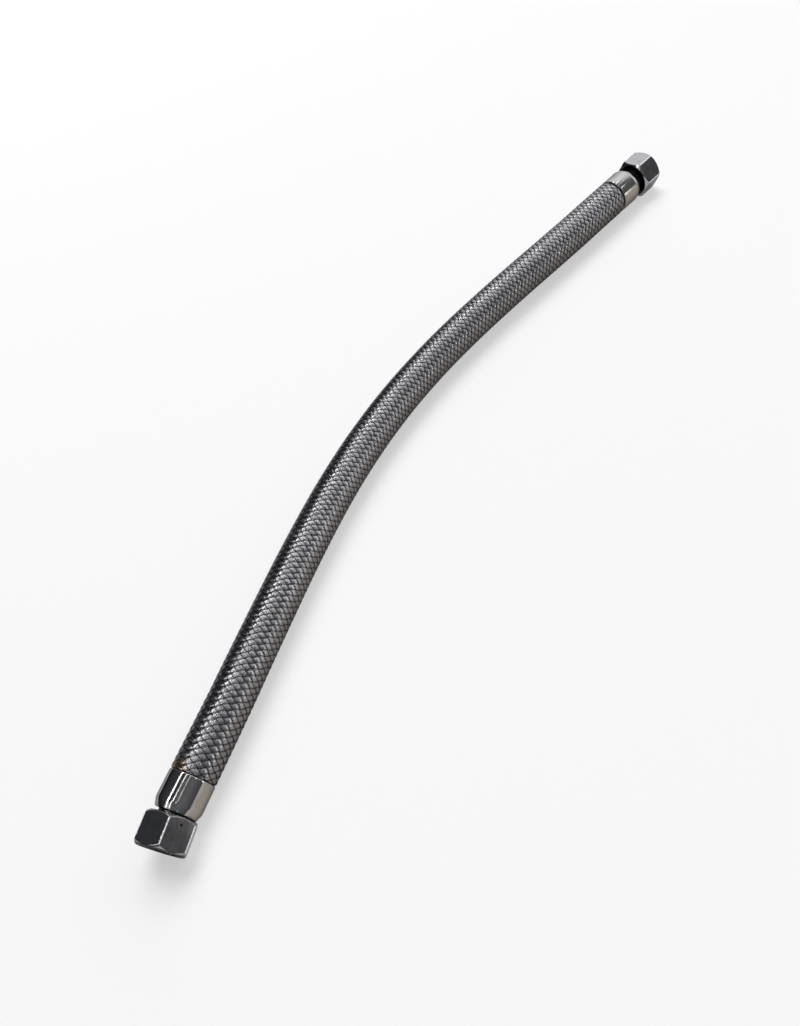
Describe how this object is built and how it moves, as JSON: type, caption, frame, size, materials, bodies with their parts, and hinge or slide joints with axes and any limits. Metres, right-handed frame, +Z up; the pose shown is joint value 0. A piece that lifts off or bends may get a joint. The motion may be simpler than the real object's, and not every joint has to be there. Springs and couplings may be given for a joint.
{
  "type": "flexible hose",
  "caption": "Wire-braided corrugated metal hose with a gentle bend, a smooth ferrule at each end and a swivelling hexagonal union nut for joining two pipe ends.",
  "frame": {"origin": "on the surface that the hose lies on, under the middle of its bounding box", "axes": "+X along the chord from the near end to the far end, +Z up, +Y towards the outside of the bend"},
  "size_m": [0.5376, 0.0773, 0.024],
  "materials": {
    "braid": "bright drawn stainless wire, darkened between the strands",
    "liner": "bright rolled stainless strip",
    "ferrule": "polished, with fine lengthwise drawing marks",
    "tailpiece": "turned",
    "nut": "satin flats with bright turned bevels",
    "gasket": "matt black"
  },
  "bodies": {
    "hose": {"braid_sleeve": "braid", "corrugated_liner": "liner", "near_ferrule": "ferrule", "near_tailpiece": "tailpiece", "near_gasket": "gasket", "far_ferrule": "ferrule", "far_tailpiece": "tailpiece", "far_gasket": "gasket"},
    "near_nut": {"near_union_nut": "nut"},
    "far_nut": {"far_union_nut": "nut"}
  },
  "joints": [
    {"name": "near_nut_swivel", "type": "hinge", "parent": "hose", "child": "near_nut", "pos_m": [-0.25836, -0.02419, 0.012], "axis": [-0.941, -0.3383, 0], "continuous": true},
    {"name": "far_nut_swivel", "type": "hinge", "parent": "hose", "child": "far_nut", "pos_m": [0.25796, -0.02406, 0.012], "axis": [0.9733, -0.2296, 0], "continuous": true}
  ]
}
